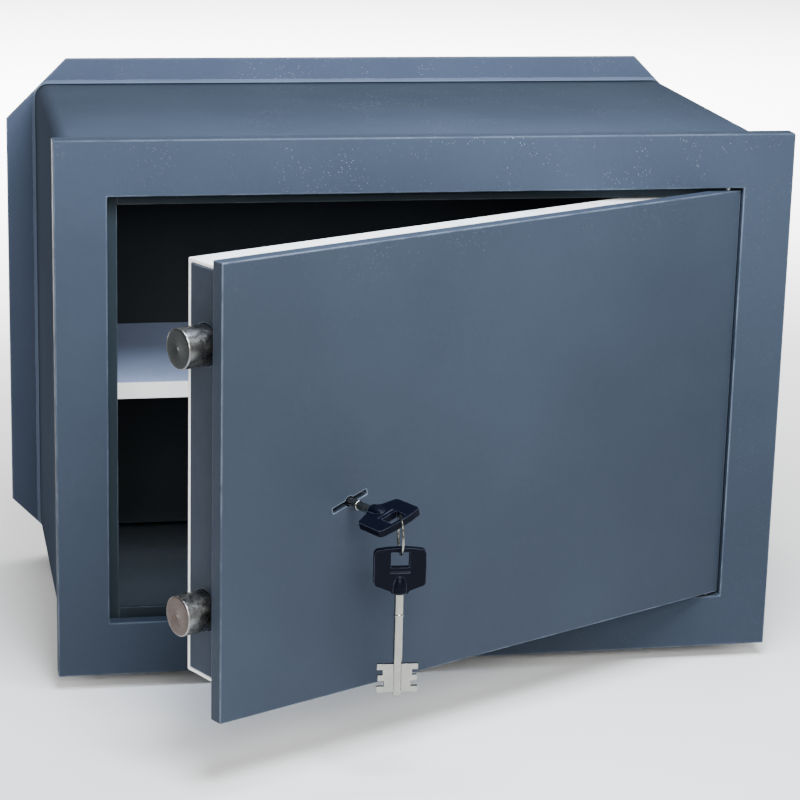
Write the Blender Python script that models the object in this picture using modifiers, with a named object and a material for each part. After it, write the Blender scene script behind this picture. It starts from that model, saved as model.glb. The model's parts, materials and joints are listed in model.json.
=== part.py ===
"""Built-in wall safe: welded casing, right-hinged door, key-driven bolt work, double-bit keys.

Metres, +Z up, +X to the right seen from the front, front faces -Y, origin at the centre of
the back plate's rear face. Door pieces are modelled closed and swung open by their parent empty.
"""
import math

import bmesh
import bpy
from mathutils import Matrix, Vector

MM = 0.001

# casing
FRAME_W, FRAME_H, FRAME_D = 490.0, 360.0, 13.0
OPEN_W, OPEN_H = 422.0, 287.0
SHEET = 2.0
RETURN_D = 10.2
BODY_W, BODY_H, BODY_R, WALL = 478.0, 344.0, 10.0, 3.0
BODY_START = 3.0
BACK_W, BACK_H, BACK_CUT, BACK_T = 520.0, 380.0, 44.0, 4.0
FRONT = -290.0
STOP_X, STOP_Z, STOP_D0, STOP_D1 = 204.0, 136.5, 10.5, 13.5
STOP_END_X, STOP_END_Z = 232.0, 165.0
HINGE_STOP_X, HINGE_STOP_END = 211.5, 192.0
SOCKET_HALF, SOCKET_H, SOCKET_D = 7.7, 8.7, 10.0
JAMB_X, JAMB_Z, JAMB_D0, JAMB_D1 = (-215.5, -211.5), 150.0, 13.8, 62.0
SHELF_Z, SHELF_FRONT, SHELF_LIP = -10.0, 114.0, 11.5
SHELF_X, SHELF_T = 233.5, 1.5
SUPPORT_DROP, SUPPORT_INSET, SUPPORT_LEG = 16.0, 8.0, 14.0
FIT = 0.3

# door
PLATE_X, PLATE_Z, PLATE_T = 208.7, 141.5, 10.0
PIVOT_X, PIVOT_D, PIN_R, PIN_HOLE, PIN_Z = 201.7, 5.5, 2.0, 2.3, (130.0, 155.0)
OPEN_ANGLE = 27.0
BOX_L, BOX_R, BOX_TOP, BOX_BOTTOM = -201.2, 188.0, 135.5, -122.5
BOX_D0, BOX_D1 = 10.6, 46.5
COVER_T = 2.5
WEB_T, FLANGE_W, FLANGE_T = 2.5, 16.0, 2.2
SCREW_INSET, SCREW_Z = 11.0, (110.0, -100.0)
SCREW_R, SCREW_HOLE, HEAD_R, HEAD_T, HEAD_SLOT = 1.9, 2.3, 3.9, 1.5, 1.2
DOG_Z, DOG_H, DOG_END, DOG_D = 85.0, 12.0, 214.0, (15.0, 23.0)
GUIDE_X, GUIDE_D, GUIDE_H = (-198.4, -186.0), (13.2, 41.2), 18.0

# bolt work
BOLT_R, BOLT_HOLE, BOLT_D, BOLT_OUT, BOLT_LEN = 12.5, 13.0, 28.0, 20.0, 50.0
BOLT_Z = {"upper": 86.5, "lower": -78.5}
BAR_T, BAR_D, BAR_Z = 6.0, (20.0, 36.0), (-96.0, 104.0)
THROW_END, THROW_D, THROW_Z = -98.0, (24.0, 28.0), (2.0, 16.0)

# lock and keys
DRILL_PLATE = ((-150.0, -78.0), (10.4, 14.2), (-54.0, 18.0))
CASE_X, CASE_Z, CASE_D, CASE_WALL = (-142.0, -72.0), (-56.0, 40.0), (14.6, 41.0), 2.0
CAP_D = (41.3, 42.9)
LEVER_PIN, LEVER_PIN_R, LEVER_D, LEVER_PITCH, LEVER_T = (-84.0, 24.0), 2.2, 29.5, 2.6, 1.8
LEVER_COUNT = 3
HUB_R, HUB_D = 15.5, (17.0, 19.4)
PASSAGE_HALF, PASSAGE_W, PASSAGE_R = 13.4, 3.6, 3.4
KEY_X, KEY_Z, KEY_TILT = -114.0, -18.0, 18.0
SHANK_R, SHANK_IN, SHANK_OUT, BIT_END = 2.75, 42.8, 22.5, 40.3
SHANK_GRIP, COLLAR_R = 7.0, 4.6
BIT_W, BIT_L, BIT_T, BIT_STEPS, TOOTH = 25.0, 18.0, 2.4, 5, 4.6
BOW_W, BOW_L, BOW_T = 31.5, 29.0, 4.4
BOW_BAR, BOW_SLOT_W, BOW_SLOT_L = 2.6, 11.2, 9.6
RING_R, RING_WIRE, RING_TURN, RING_GAP = 11.5, 1.0, 30.0, 0.6


def clear_scene():
    for obj in list(bpy.data.objects):
        bpy.data.objects.remove(obj, do_unlink=True)


def collection(name):
    col = bpy.data.collections.new(name)
    bpy.context.scene.collection.children.link(col)
    return col


clear_scene()
PARTS = collection("wall_safe")
CUTTERS = collection("cutters")


def material(name, color, metallic, roughness):
    mat = bpy.data.materials.new(name)
    mat.use_nodes = True
    shader = mat.node_tree.nodes["Principled BSDF"]
    shader.inputs["Base Color"].default_value = (*color, 1.0)
    shader.inputs["Metallic"].default_value = metallic
    shader.inputs["Roughness"].default_value = roughness
    return mat


PAINT = ((0.10, 0.14, 0.19), 0.3, 0.45)
DARK = ((0.03, 0.032, 0.035), 0.2, 0.6)
WHITE = ((0.86, 0.85, 0.82), 0.0, 0.4)
STEEL = ((0.55, 0.56, 0.58), 0.9, 0.35)
NICKEL = ((0.72, 0.71, 0.69), 1.0, 0.2)
BLACK = ((0.015, 0.017, 0.03), 0.0, 0.35)
BRASS = ((0.62, 0.47, 0.20), 1.0, 0.3)


def add_object(name, bm, finish, parent=None):
    """Puts a bmesh (millimetres, world position of the closed door) into the scene as a part."""
    bmesh.ops.recalc_face_normals(bm, faces=bm.faces)
    bmesh.ops.scale(bm, vec=(MM, MM, MM), verts=bm.verts)
    origin = Vector((0, 0, 0)) if parent is None else Vector(parent["closed_at"])
    bmesh.ops.translate(bm, vec=-origin, verts=bm.verts)
    mesh = bpy.data.meshes.new(name)
    bm.to_mesh(mesh)
    bm.free()
    mesh.materials.append(material(name + "_finish", *finish))
    obj = bpy.data.objects.new(name, mesh)
    PARTS.objects.link(obj)
    obj.parent = parent
    return obj


def empty(name, point, parent=None):
    """An empty on a joint axis; point is in millimetres with the door closed."""
    obj = bpy.data.objects.new(name, None)
    CUTTERS.objects.link(obj)
    obj.parent = parent
    here = Vector(point) * MM
    base = Vector((0, 0, 0)) if parent is None else Vector(parent["closed_at"])
    obj.location = here - base
    obj["closed_at"] = here
    return obj


def box_mesh(x, y, z):
    """A box from three (low, high) pairs."""
    bm = bmesh.new()
    bmesh.ops.create_cube(bm, size=1.0)
    for vert in bm.verts:
        for axis, (low, high) in enumerate((x, y, z)):
            vert.co[axis] = low if vert.co[axis] < 0 else high
    return bm


def slab_mesh(points, thickness):
    """A flat outline extruded by a vector."""
    bm = bmesh.new()
    face = bm.faces.new([bm.verts.new(point) for point in points])
    grown = bmesh.ops.extrude_face_region(bm, geom=[face])["geom"]
    moved = [item for item in grown if isinstance(item, bmesh.types.BMVert)]
    bmesh.ops.translate(bm, vec=thickness, verts=moved)
    return bm


def prism_mesh(outline, low, high):
    """An outline in X and Z, extruded along Y."""
    return slab_mesh([(x, low, z) for x, z in outline], (0, high - low, 0))


def rod_mesh(start, end, radius, segments=32, chamfer=0.0):
    """A round bar between two points, with optional chamfered ends."""
    start, end = Vector(start), Vector(end)
    run = end - start
    place = Matrix.Translation((start + end) / 2) @ run.to_track_quat("Z", "Y").to_matrix().to_4x4()
    bm = bmesh.new()
    size = {"radius1": radius, "radius2": radius, "depth": run.length}
    bmesh.ops.create_cone(bm, cap_ends=True, cap_tris=False, segments=segments, matrix=place, **size)
    for face in bm.faces:
        face.smooth = len(face.verts) == 4
    if chamfer:
        rims = [edge for edge in bm.edges if any(not face.smooth for face in edge.link_faces)]
        bmesh.ops.bevel(bm, geom=rims, offset=chamfer, segments=1, affect="EDGES")
    return bm


def box(name, x, depth, z, finish, parent=None):
    """A box whose Y range is given as depth behind the front plane."""
    y = (FRONT + depth[0], FRONT + depth[1])
    return add_object(name, box_mesh(x, y, z), finish, parent)


def modifier(obj, kind, name, **settings):
    mod = obj.modifiers.new(name, kind)
    for key, value in settings.items():
        setattr(mod, key, value)
    return mod


def soften(obj, width=0.6):
    modifier(obj, "BEVEL", "soft_edges", width=width * MM, segments=2, limit_method="ANGLE", angle_limit=0.7)


def tool(name, bm, parent=None):
    """A hidden shape that only cuts or adds to others."""
    obj = add_object(name, bm, DARK, parent)
    PARTS.objects.unlink(obj)
    CUTTERS.objects.link(obj)
    obj.hide_render = True
    obj.display_type = "WIRE"
    return obj


def apply_tool(obj, other, operation):
    modifier(obj, "BOOLEAN", other.name, operation=operation, solver="EXACT", object=other)


def combine(obj, bm, operation):
    """Cuts a bmesh out of a part, or welds one onto it."""
    apply_tool(obj, tool(f"{obj.name}_tool_{len(obj.modifiers)}", bm, obj.parent), operation)


def cut(obj, bm):
    combine(obj, bm, "DIFFERENCE")


def weld(obj, bm):
    combine(obj, bm, "UNION")


def depth_box(x, depth, z):
    return box_mesh(x, (FRONT + depth[0], FRONT + depth[1]), z)


def depth_rod(x, z, depth, radius, segments=32):
    """A round bar along Y at (x, z), between two depths."""
    return rod_mesh((x, FRONT + depth[0], z), (x, FRONT + depth[1], z), radius, segments)


# ---- casing ---------------------------------------------------------------------------------


def front_frame():
    """Pressed ring: outer return, flat face and inner reveal, open at the back between them."""
    half_w, half_h = FRAME_W / 2, FRAME_H / 2
    ow, oh = OPEN_W / 2, OPEN_H / 2
    over = 3 * FRAME_D
    obj = box("front_frame", (-half_w, half_w), (0, FRAME_D), (-half_h, half_h), PAINT)
    cut(obj, depth_box((-ow, ow), (-over, over), (-oh, oh)))
    inner_w, inner_h = half_w - SHEET, half_h - SHEET
    channel = tool("channel_tool", depth_box((-inner_w, inner_w), (SHEET, over), (-inner_h, inner_h)))
    cut(channel, depth_box((-ow - SHEET, ow + SHEET), (0, 2 * over), (-oh - SHEET, oh + SHEET)))
    apply_tool(obj, channel, "DIFFERENCE")
    wide, high = ow + 2 * SHEET, oh + 2 * SHEET
    cut(obj, depth_box((-wide, wide), (RETURN_D, over), (-high, high)))
    y = FRONT + PIVOT_D
    for sign in (-1, 1):
        ends = sorted((sign * (oh - 1), sign * (oh + SHEET + 1)))
        cut(obj, rod_mesh((PIVOT_X, y, ends[0]), (PIVOT_X, y, ends[1]), PIN_HOLE, 24))


def panel_outline(half, edge, turn, steps=4):
    """One body panel with half of each rounded corner, in X and Z; turn is in quarter turns."""
    points = []
    for radius in (BODY_R, BODY_R - WALL):
        arc = []
        for side, start in ((1, 45), (-1, 90)):
            for i in range(steps + 1):
                a = math.radians(start + 45 * i / steps)
                x = side * (half - BODY_R) + radius * math.cos(a)
                arc.append((x, edge - BODY_R + radius * math.sin(a)))
        points += arc if radius == BODY_R else list(reversed(arc))
    cos, sin = (1, 0, -1, 0)[turn], (0, 1, 0, -1)[turn]
    return [(x * cos - z * sin, x * sin + z * cos) for x, z in points]


def body_panels():
    halves = {"body_top": (BODY_W / 2, BODY_H / 2, 0), "body_left": (BODY_H / 2, BODY_W / 2, 1)}
    halves["body_floor"] = (BODY_W / 2, BODY_H / 2, 2)
    halves["body_right"] = (BODY_H / 2, BODY_W / 2, 3)
    gap = 0.25
    for name, (half, edge, turn) in halves.items():
        outline = panel_outline(half - gap, edge, turn)
        add_object(name, prism_mesh(outline, FRONT + BODY_START, -BACK_T - FIT), PAINT)


def back_plate():
    w, h, c = BACK_W / 2, BACK_H / 2, BACK_CUT
    right = [(w - c, h), (w, h - c), (w, c - h), (w - c, -h)]
    left = [(-x, z) for x, z in reversed(right)]
    add_object("back_plate", prism_mesh(right + left, -BACK_T, 0.0), PAINT)


def door_stops():
    depth = (STOP_D0, STOP_D1)
    across = (0.4 - STOP_X, HINGE_STOP_END)
    upright = (-STOP_END_Z, STOP_END_Z)
    box("stop_left", (-STOP_END_X, -STOP_X), depth, upright, PAINT)
    box("stop_top", across, depth, (STOP_Z, STOP_END_Z), PAINT)
    box("stop_bottom", across, depth, (-STOP_END_Z, -STOP_Z), PAINT)
    box("stop_right", (HINGE_STOP_X, STOP_END_X), depth, upright, PAINT)


def strike_jamb():
    obj = box("strike_jamb", JAMB_X, (JAMB_D0, JAMB_D1), (-JAMB_Z, JAMB_Z), PAINT)
    y = FRONT + BOLT_D
    for z in BOLT_Z.values():
        cut(obj, rod_mesh((JAMB_X[0] - 5, y, z), (JAMB_X[1] + 5, y, z), BOLT_HOLE, 40))


def hinge_sockets():
    y = FRONT + PIVOT_D
    near = OPEN_H / 2 + SHEET + FIT
    for name, sign in (("upper_hinge_socket", 1), ("lower_hinge_socket", -1)):
        z = sorted((sign * near, sign * (near + SOCKET_H)))
        wide = (PIVOT_X - SOCKET_HALF, PIVOT_X + SOCKET_HALF)
        obj = box(name, wide, (SHEET + FIT, SOCKET_D), z, STEEL)
        cut(obj, rod_mesh((PIVOT_X, y, z[0] - 2), (PIVOT_X, y, z[1] + 2), PIN_HOLE, 24))


def shelf():
    """Shelf sheet, its white front lip, and an angle along each wall under it."""
    back = -FRONT - BACK_T - 2
    wide = (-SHELF_X, SHELF_X)
    lip = (SHELF_FRONT, SHELF_FRONT + SHELF_T)
    box("shelf", wide, (lip[1] + FIT, back), (SHELF_Z - SHELF_T, SHELF_Z), PAINT)
    box("shelf_lip", wide, lip, (SHELF_Z - SHELF_LIP, SHELF_Z), WHITE)
    z = (SHELF_Z - SUPPORT_DROP, SHELF_Z - SHELF_T - FIT)
    run = (SHELF_FRONT + SUPPORT_INSET, back)
    outer = BODY_W / 2 - WALL - FIT
    for name, sign in (("shelf_support_left", -1), ("shelf_support_right", 1)):
        wall = sorted((sign * outer, sign * (outer - SHEET)))
        leg = sorted((sign * (outer - 1), sign * (outer - 1 - SUPPORT_LEG)))
        obj = box(name, wall, run, z, PAINT)
        weld(obj, depth_box(leg, run, (z[1] - SHEET, z[1])))


# ---- door -----------------------------------------------------------------------------------


def key_point(u, v, w):
    """A point from the key's own axes: u across the bits, v across their thickness, w outwards."""
    a = math.radians(KEY_TILT)
    return (KEY_X + u * math.cos(a) - v * math.sin(a), FRONT - w, KEY_Z + u * math.sin(a) + v * math.cos(a))


def key_slab(outline, thickness):
    """A plate in the key's own plane, from (u, w) points."""
    across = Vector(key_point(0, thickness, 0)) - Vector(key_point(0, 0, 0))
    return slab_mesh([key_point(u, -thickness / 2, w) for u, w in outline], across)


def rectangle(half_u, low_w, high_w):
    return [(-half_u, low_w), (half_u, low_w), (half_u, high_w), (-half_u, high_w)]


def key_passage(obj, depth, half=PASSAGE_HALF, thickness=PASSAGE_W, hole=PASSAGE_R):
    """The bow-tie keyhole: a slot for the bits and a round hole for the shank."""
    cut(obj, key_slab(rectangle(half, -depth[1], -depth[0]), thickness))
    cut(obj, rod_mesh(key_point(0, 0, -depth[0]), key_point(0, 0, -depth[1]), hole, 32))


def door_plate(door):
    plate = box("door_plate", (-PLATE_X, PLATE_X), (0, PLATE_T), (-PLATE_Z, PLATE_Z), PAINT, door)
    soften(plate, 0.8)
    key_passage(plate, (-2, PLATE_T + 2))
    y = FRONT + PIVOT_D
    for name, sign in (("upper_hinge_pin", 1), ("lower_hinge_pin", -1)):
        low, high = sign * PIN_Z[0], sign * PIN_Z[1]
        socket = (PIVOT_X, y, low - sign * FIT), (PIVOT_X, y, sign * (PLATE_Z + 1.5))
        cut(plate, rod_mesh(*socket, PIN_HOLE, 24))
        add_object(name, rod_mesh((PIVOT_X, y, low), (PIVOT_X, y, high), PIN_R, 24, 0.4), STEEL, door)


def side_channels(door):
    """The folded sides of the lock box, the left one with the two bolt holes."""
    inner = (BOX_BOTTOM + COVER_T + FIT, BOX_TOP - COVER_T - FIT)
    rear = BOX_D1 - COVER_T - FIT
    for name, edge, way in (("bolt_side_channel", BOX_L, 1), ("hinge_side_channel", BOX_R, -1)):
        web = sorted((edge, edge + way * WEB_T))
        flange = sorted((edge, edge + way * FLANGE_W))
        obj = box(name, web, (BOX_D0, rear), inner, PAINT, door)
        weld(obj, depth_box(flange, (BOX_D0, BOX_D0 + FLANGE_T), inner))
        weld(obj, depth_box(flange, (rear - FLANGE_T, rear), inner))
        if way == 1:
            for z in BOLT_Z.values():
                start, end = (edge - 3, FRONT + BOLT_D, z), (edge + 6, FRONT + BOLT_D, z)
                cut(obj, rod_mesh(start, end, BOLT_HOLE, 40))


def rear_cover(door):
    wide = (BOX_L, BOX_R)
    cover = box("rear_cover", wide, (BOX_D1 - COVER_T, BOX_D1), (BOX_BOTTOM, BOX_TOP), WHITE, door)
    weld(cover, depth_box(wide, (BOX_D0, BOX_D1), (BOX_TOP - COVER_T, BOX_TOP)))
    weld(cover, depth_box(wide, (BOX_D0, BOX_D1), (BOX_BOTTOM, BOX_BOTTOM + COVER_T)))
    head = BOX_D1 + FIT
    number = 0
    for x in (BOX_L + SCREW_INSET, BOX_R - SCREW_INSET):
        for z in SCREW_Z:
            number += 1
            cut(cover, depth_rod(x, z, (BOX_D1 - 2 * COVER_T, BOX_D1 + 3), SCREW_HOLE, 20))
            shank = depth_rod(x, z, (BOX_D1 - COVER_T - 0.2, head), SCREW_R, 20)
            obj = add_object(f"cover_screw_{number}", shank, STEEL, door)
            weld(obj, depth_rod(x, z, (head, head + HEAD_T), HEAD_R, 20))
            slot = (z - HEAD_SLOT / 2, z + HEAD_SLOT / 2)
            cut(obj, depth_box((x - 5, x + 5), (head + HEAD_T / 2, head + 3), slot))


def dogs_and_guides(door):
    """Fixed hooks on the hinge side, and the blocks that the bolts slide in."""
    for name, z in (("upper_dog", DOG_Z), ("lower_dog", -DOG_Z)):
        box(name, (BOX_R + FIT, DOG_END), DOG_D, (z - DOG_H, z + DOG_H), STEEL, door)
    y = FRONT + BOLT_D
    for name, z in BOLT_Z.items():
        obj = box(f"{name}_bolt_guide", GUIDE_X, GUIDE_D, (z - GUIDE_H, z + GUIDE_H), STEEL, door)
        cut(obj, rod_mesh((GUIDE_X[0] - 4, y, z), (GUIDE_X[1] + 6, y, z), BOLT_HOLE, 40))


def lock(door):
    """Drill plate, and the case that the bits turn in, with the throw bar's way out on its left."""
    key_passage(box("drill_plate", *DRILL_PLATE, STEEL, door), (8, 16))
    case = box("lock_case", CASE_X, CASE_D, CASE_Z, STEEL, door)
    x = (CASE_X[0] + CASE_WALL, CASE_X[1] - CASE_WALL)
    z = (CASE_Z[0] + CASE_WALL, CASE_Z[1] - CASE_WALL)
    cut(case, depth_box(x, (CASE_D[0] + CASE_WALL, 2 * CASE_D[1]), z))
    way_out = (CASE_X[0] - CASE_WALL, CASE_X[0] + 2 * CASE_WALL)
    cut(case, depth_box(way_out, (THROW_D[0] - 0.6, THROW_D[1] + 0.6), (THROW_Z[0] - 0.6, THROW_Z[1] + 0.6)))
    key_passage(case, (CASE_D[0] - 2, CASE_D[0] + CASE_WALL + 1))
    cap = box("lock_cap", CASE_X, CAP_D, CASE_Z, STEEL, door)
    cut(cap, depth_rod(KEY_X, KEY_Z, (CAP_D[0] - 1, CAP_D[1] + 1), PASSAGE_R))
    post = (CASE_D[0] + CASE_WALL + FIT, CAP_D[0] - FIT)
    add_object("lever_pin", depth_rod(*LEVER_PIN, post, LEVER_PIN_R, 20), BRASS, door)


def bolt_work(slide):
    y = FRONT + BOLT_D
    tip = BOX_L - BOLT_OUT
    for name, z in BOLT_Z.items():
        rod = rod_mesh((tip, y, z), (tip + BOLT_LEN, y, z), BOLT_R, 40, 0.8)
        add_object(f"{name}_bolt", rod, NICKEL, slide)
    x = tip + BOLT_LEN + FIT
    box("bolt_bar", (x, x + BAR_T), BAR_D, BAR_Z, STEEL, slide)
    box("throw_bar", (x + BAR_T + FIT, THROW_END), THROW_D, THROW_Z, BRASS, slide)


def lever_outline():
    """A flat lever: a square eye round its pin and a long tail over the bits."""
    x, z = LEVER_PIN
    eye, tail, end = 6, 38, 46
    top = [(x + eye, z - eye), (x + eye, z + eye), (x - tail, z + eye), (x - end, z + 2)]
    return top + [(x - end, z - eye), (x - 2 * eye, z - eye - 2)]


def levers(pivot):
    for i in range(LEVER_COUNT):
        low = LEVER_D + LEVER_PITCH * i
        high = low + LEVER_T
        plate = prism_mesh(lever_outline(), FRONT + low, FRONT + high)
        obj = add_object(f"lever_{i + 1}", plate, BRASS, pivot)
        cut(obj, depth_rod(*LEVER_PIN, (low - 1, high + 1), LEVER_PIN_R + FIT, 20))


def key_hub(turn):
    hub = add_object("key_hub", depth_rod(KEY_X, KEY_Z, HUB_D, HUB_R, 40), BRASS, turn)
    key_passage(hub, (16, 21), 13.0, 3.2, 3.2)


# ---- keys -----------------------------------------------------------------------------------


def mirrored(right):
    """An outline closed by its own mirror image in the key's axis."""
    return right + [(-u, w) for u, w in reversed(right)]


def bit_outline():
    """The double bit with three teeth a side, in (u, w), from its inner end outwards."""
    half, step = BIT_W / 2, BIT_L / BIT_STEPS
    right = []
    for i in range(BIT_STEPS):
        u = half if i % 2 == 0 else half - TOOTH
        right += [(u, step * i - BIT_END), (u, step * (i + 1) - BIT_END)]
    return mirrored(right)


def bow_outline():
    """The plastic bow in (u, w): narrow collar at the base, square shoulders, flat end."""
    half, base, end = BOW_W / 2, SHANK_OUT, SHANK_OUT + BOW_L
    neck = [(5.0, base), (6.5, base + 2.0), (half - 1.5, base + 5.5), (half, base + 8.0)]
    return mirrored(neck + [(half, end - 3.0), (half - 2.5, end - 0.8), (5.0, end)])


def key(blade_name, bow_name, parent, place):
    """A key built on the lock's axis, then moved to its place by a matrix in millimetres."""
    grip = SHANK_OUT + SHANK_GRIP
    blade = rod_mesh(key_point(0, 0, -SHANK_IN), key_point(0, 0, grip), SHANK_R, 32, 0.5)
    bits = key_slab(bit_outline(), BIT_T)
    bow = key_slab(bow_outline(), BOW_T)
    socket = rod_mesh(key_point(0, 0, SHANK_OUT - 1), key_point(0, 0, grip + 0.4), SHANK_R + FIT, 32)
    collar = rod_mesh(key_point(0, 0, SHANK_OUT), key_point(0, 0, grip + 5), COLLAR_R, 32)
    high = SHANK_OUT + BOW_L - BOW_BAR
    slot = key_slab(rectangle(BOW_SLOT_W / 2, high - BOW_SLOT_L, high), BOW_T + 2)
    for bm in (blade, bits, bow, socket, collar, slot):
        bmesh.ops.transform(bm, matrix=place, verts=bm.verts)
    weld(add_object(blade_name, blade, NICKEL, parent), bits)
    obj = add_object(bow_name, bow, BLACK, parent)
    weld(obj, collar)
    cut(obj, socket)
    cut(obj, slot)


BAR_W = SHANK_OUT + BOW_L - BOW_BAR / 2
RING_TOP = BOW_T / 2 / math.cos(math.radians(KEY_TILT)) + RING_GAP
RING_CENTRE = Vector(key_point(0, 0, BAR_W)) + Vector((0, 0, RING_TOP + RING_WIRE - RING_R))


def ring_axes():
    """Horizontal direction in the ring's plane, and the ring's normal, with the door closed."""
    a = math.radians(RING_TURN)
    along = Vector((math.sin(a), math.cos(a), 0))
    return along, Vector((math.cos(a), -math.sin(a), 0))


def ring(parent):
    along, normal = ring_axes()
    size = {"major_radius": RING_R, "minor_radius": RING_WIRE, "major_segments": 40, "minor_segments": 10}
    bpy.ops.mesh.primitive_torus_add(**size)
    torus = bpy.context.active_object
    bm = bmesh.new()
    bm.from_mesh(torus.data)
    bpy.data.objects.remove(torus, do_unlink=True)
    for face in bm.faces:
        face.smooth = True
    upright = Matrix((along, Vector((0, 0, 1)), normal)).transposed().to_4x4()
    bmesh.ops.transform(bm, matrix=Matrix.Translation(RING_CENTRE) @ upright, verts=bm.verts)
    add_object("key_ring", bm, NICKEL, parent)


def spare_place():
    """From the lock's axis to hanging in the ring: bow end up, plate square to the ring's run."""
    along, normal = ring_axes()
    bar_low = RING_CENTRE + Vector((0, 0, RING_WIRE - RING_R + FIT))
    u_axis = Vector(key_point(1, 0, 0)) - Vector(key_point(0, 0, 0))
    v_axis = Vector(key_point(0, 1, 0)) - Vector(key_point(0, 0, 0))
    w_axis = Vector((0, -1, 0))
    source = Matrix((u_axis, v_axis, w_axis)).transposed()
    target = Matrix((normal, along, Vector((0, 0, 1)))).transposed()
    turn = (target @ source.inverted()).to_4x4()
    old = Vector(key_point(0, 0, SHANK_OUT + BOW_L - BOW_BAR))
    return Matrix.Translation(bar_low) @ turn @ Matrix.Translation(-old)


def main():
    front_frame()
    body_panels()
    back_plate()
    door_stops()
    strike_jamb()
    hinge_sockets()
    shelf()

    door = empty("door_hinge_axis", (PIVOT_X, FRONT + PIVOT_D, 0))
    door.rotation_euler.z = math.radians(OPEN_ANGLE)
    door_plate(door)
    side_channels(door)
    rear_cover(door)
    dogs_and_guides(door)
    lock(door)
    slide = empty("bolt_slide_axis", (BOX_L, FRONT + BOLT_D, 0), door)
    bolt_work(slide)
    levers(empty("lever_axis", (LEVER_PIN[0], FRONT + LEVER_D, LEVER_PIN[1]), door))
    turn = empty("key_axis", key_point(0, 0, 0), door)
    key_hub(turn)
    key("key_blade", "key_bow", turn, Matrix.Identity(4))
    swing = empty("ring_axis", RING_CENTRE + Vector((0, 0, RING_R)), turn)
    ring(swing)
    low = RING_CENTRE - Vector((0, 0, RING_R))
    key("spare_key_blade", "spare_key_bow", empty("spare_key_axis", low, swing), spare_place())
    bpy.context.view_layer.update()


main()
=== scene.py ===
"""Looks of the built-in wall safe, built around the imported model.

Lengths are in metres. The sizes of the keys are millimetres, in key coordinates.
"""
import json
import math

import bmesh
import bpy
from mathutils import Matrix, Vector


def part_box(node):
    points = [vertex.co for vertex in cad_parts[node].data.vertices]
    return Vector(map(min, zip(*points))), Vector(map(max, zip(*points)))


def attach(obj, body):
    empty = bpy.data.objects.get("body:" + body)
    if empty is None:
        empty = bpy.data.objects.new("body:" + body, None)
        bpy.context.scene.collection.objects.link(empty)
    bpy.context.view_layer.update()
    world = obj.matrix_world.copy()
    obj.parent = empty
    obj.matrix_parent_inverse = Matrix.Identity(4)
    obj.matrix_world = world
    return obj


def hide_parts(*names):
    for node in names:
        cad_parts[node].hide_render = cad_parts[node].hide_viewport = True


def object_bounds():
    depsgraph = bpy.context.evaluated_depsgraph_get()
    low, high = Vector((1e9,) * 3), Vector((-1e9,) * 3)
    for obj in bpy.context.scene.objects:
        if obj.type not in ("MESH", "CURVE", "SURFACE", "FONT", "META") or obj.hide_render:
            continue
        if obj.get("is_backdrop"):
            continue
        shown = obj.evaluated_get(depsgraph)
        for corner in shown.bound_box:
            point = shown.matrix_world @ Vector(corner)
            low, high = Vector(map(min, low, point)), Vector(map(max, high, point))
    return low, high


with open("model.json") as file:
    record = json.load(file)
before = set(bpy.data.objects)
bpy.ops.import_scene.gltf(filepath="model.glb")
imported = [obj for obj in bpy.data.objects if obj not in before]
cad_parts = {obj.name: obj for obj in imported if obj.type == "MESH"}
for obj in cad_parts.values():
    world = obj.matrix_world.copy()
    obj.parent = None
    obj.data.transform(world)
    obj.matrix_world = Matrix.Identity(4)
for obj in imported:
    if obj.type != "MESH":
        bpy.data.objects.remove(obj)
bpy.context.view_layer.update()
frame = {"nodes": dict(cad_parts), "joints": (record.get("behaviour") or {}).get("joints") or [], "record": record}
NODES = frame["nodes"]
JOINTS = {joint["name"]: joint for joint in frame["joints"]}
MM = 0.001
Z = Vector((0, 0, 1))

# camera
CAMERA_AT = (-0.350, -1.919, 0.4686)
CAMERA_YAW, CAMERA_PITCH, CAMERA_ROLL = 11.5, 15.6, 1.43
CAMERA_LENS, CAMERA_SENSOR, CAMERA_REACH = 117.4, 36.0, 50.0

# casing
BODY_R, WALL = 10.0 * MM, 3.0 * MM
BODY_STATIONS = 24
BACK_CUT = 44.0 * MM
# a thin near black sheet on the back plate inside the box: painted shade
SHADE_SHEET_GAP, SHADE_SHEET_THICK, SHADE_SHEET_SUNK = 0.1 * MM, 0.25 * MM, 0.1 * MM
FILLET_SIZE, FILLET_SUNK, FILLET_STEP = 2.2 * MM, 0.2 * MM, 3.0 * MM
FILLET_SECTION = ((-0.3, -1.0), (0.1, -1.0), (0.38, -0.52), (1.0, 0.0), (1.0, 0.25), (-0.3, 0.25))
RIPPLE_FINE, RIPPLE_FINE_RATE, RIPPLE_SLOW, RIPPLE_SLOW_RATE = 0.05, 2.1, 0.06, 0.37

# door
BOLT_SOFT, BOLT_STEPS = 1.1 * MM, 6
BOLT_RIM = 2.2 * BOLT_SOFT
BOLT_CENTRE = [(0.0, 0.5 * MM), (0.9 * MM, 0.1 * MM), (1.4 * MM, 0.0)]
BOLT_FACE_DEPTH = 0.1 * MM
SCREW_HEAD, SCREW_SHANK_R, SCREW_SOFT, SCREW_CROWN = 1.5 * MM, 1.9 * MM, 0.8 * MM, 0.15 * MM
SLOT_SIZE, SLOT_RAISE = (12 * MM, 1.0 * MM, 2 * MM), 0.3 * MM
SLOT_FIRST, SLOT_TURN = 35, 47
SCREW_STEPS, SCREW_SIDES = 5, 48

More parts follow.
